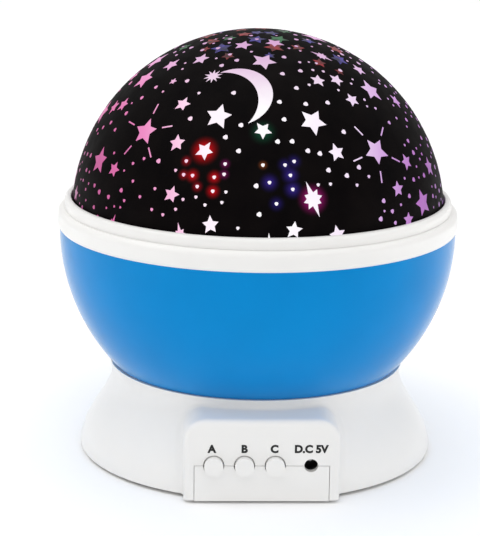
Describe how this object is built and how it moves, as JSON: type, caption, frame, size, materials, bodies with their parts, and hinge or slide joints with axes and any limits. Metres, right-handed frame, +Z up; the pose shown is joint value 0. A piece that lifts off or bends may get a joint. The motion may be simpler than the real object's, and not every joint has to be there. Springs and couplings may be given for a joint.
{
  "type": "star night light projector",
  "caption": "Night light with a printed star dome that twists off a turning round bowl, on a flared base with push buttons, a power inlet and a geared drive.",
  "frame": {"origin": "on the floor, under the middle of the lamp, on the axis that the bowl turns about", "axes": "+Z up along the turning axis; the control box with the buttons faces -Y; +X is to the right of someone facing the buttons"},
  "size_m": [0.1282, 0.1282, 0.1366],
  "materials": {
    "white_plastic": "glossy moulded ABS",
    "tray_white": "bright white moulded plastic",
    "blue_plastic": "glossy moulded ABS",
    "dome_black": "satin black print on translucent plastic, with clear star windows",
    "rubber": "matte",
    "steel": "plated",
    "plated_contacts": "nickel plated spring steel",
    "circuit_board": "solder mask",
    "black_plastic": "fine matte",
    "cell_label": "plain printed sleeve",
    "gear_plastic": "natural acetal",
    "red_lamp": "clear tinted epoxy",
    "green_lamp": "clear tinted epoxy",
    "blue_lamp": "clear tinted epoxy",
    "warm_lamp": "clear epoxy",
    "red_wire": "soft insulation",
    "black_wire": "soft insulation"
  },
  "bodies": {
    "base": {"base_shell": "white_plastic", "bottom_cover": "white_plastic", "rubber_feet": "rubber", "cover_screws": "steel", "control_board": "circuit_board", "tact_switches": "black_plastic", "dc_jack": "black_plastic", "jack_pin": "steel", "battery_cells": "cell_label", "battery_springs": "steel", "battery_contacts": "plated_contacts", "gearbox_case": "gear_plastic", "gearbox_screws": "steel", "motor_can": "steel", "motor_end_cap": "gear_plastic", "thrust_washer": "gear_plastic", "lamp_post": "white_plastic", "post_screws": "steel", "led_board": "circuit_board", "red_led": "red_lamp", "green_led": "green_lamp", "blue_led": "blue_lamp", "warm_led": "warm_lamp", "led_wires": "red_wire", "motor_wires": "black_wire", "battery_wires": "red_wire"},
    "globe": {"bowl": "blue_plastic", "globe_gear": "gear_plastic", "gear_screws": "steel", "trim_ring": "white_plastic", "reflector_tray": "tray_white"},
    "pinion": {"drive_pinion": "gear_plastic", "output_shaft": "steel"},
    "dome": {"dome_collar": "white_plastic", "star_dome": "dome_black"},
    "button_a": {"button_a": "white_plastic", "plunger_a": "black_plastic"},
    "button_b": {"button_b": "white_plastic", "plunger_b": "black_plastic"},
    "button_c": {"button_c": "white_plastic", "plunger_c": "black_plastic"},
    "battery_door": {"battery_door": "white_plastic", "door_screw": "steel"}
  },
  "joints": [
    {"name": "globe_spin", "type": "hinge", "parent": "base", "child": "globe", "pos_m": [0, 0, 0.0218], "axis": [0, 0, 1], "continuous": true},
    {"name": "pinion_spin", "type": "hinge", "parent": "base", "child": "pinion", "pos_m": [0, -0.0288, 0.0218], "axis": [0, 0, 1], "continuous": true},
    {"name": "dome_twist", "type": "hinge", "parent": "globe", "child": "dome", "pos_m": [0, 0, 0.0804], "axis": [0, 0, 1], "range_deg": [-20, 0]},
    {"name": "press_a", "type": "slide", "parent": "base", "child": "button_a", "axis": [0, 1, 0], "range_m": [0, 0.0009], "stiffness_N_per_m": 700, "springref_m": -0.0012},
    {"name": "press_b", "type": "slide", "parent": "base", "child": "button_b", "axis": [0, 1, 0], "range_m": [0, 0.0009], "stiffness_N_per_m": 700, "springref_m": -0.0012},
    {"name": "press_c", "type": "slide", "parent": "base", "child": "button_c", "axis": [0, 1, 0], "range_m": [0, 0.0009], "stiffness_N_per_m": 700, "springref_m": -0.0012},
    {"name": "battery_door_swing", "type": "hinge", "parent": "base", "child": "battery_door", "pos_m": [0, -0.0121, 0.0024], "axis": [-1, 0, 0], "range_deg": [0, 80]}
  ],
  "couplings": [
    {"joint": "pinion_spin", "follows": "globe_spin", "ratio": -3}
  ]
}
